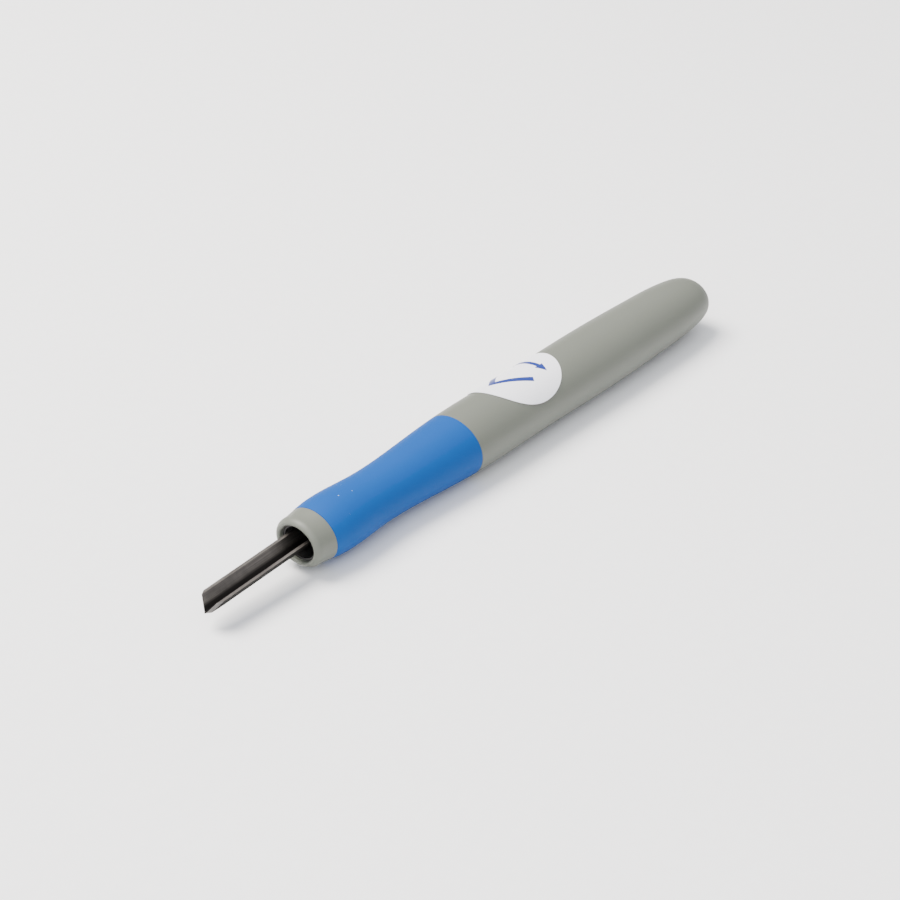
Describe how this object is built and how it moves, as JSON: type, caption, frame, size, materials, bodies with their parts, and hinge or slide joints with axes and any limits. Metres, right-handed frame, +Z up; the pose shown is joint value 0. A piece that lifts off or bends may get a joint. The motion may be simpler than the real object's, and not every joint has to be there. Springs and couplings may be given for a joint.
{
  "type": "v-gouge",
  "caption": "Hand-held V-section gouge for block and lino carving: a short bevelled V blade set in the open mouth of an oval moulded handle with a soft coloured grip band.",
  "frame": {"origin": "under the middle of the tool's overall length, at the height of the lowest point of the handle's belly, so that the part lies on the plane z=0", "axes": "+X along the handle from the blade towards the butt, +Z up on the open side of the V, +Y to the left of +X seen from above; the handle's axis is parallel to X"},
  "size_m": [0.1458, 0.015, 0.0128],
  "materials": {
    "handle_plastic": "satin warm grey moulded ABS",
    "grip_elastomer": "matte blue thermoplastic elastomer",
    "insert_plastic": "black glass-filled nylon",
    "blade_steel": "rolled and ground tool steel",
    "label_paper": "gloss-coated white paper",
    "label_ink": "dark blue printing ink"
  },
  "bodies": {
    "root": {"handle_body": "handle_plastic", "grip_sleeve": "grip_elastomer", "blade_insert": "insert_plastic", "v_blade": "blade_steel", "label": "label_paper", "label_print": "label_ink"}
  },
  "joints": []
}
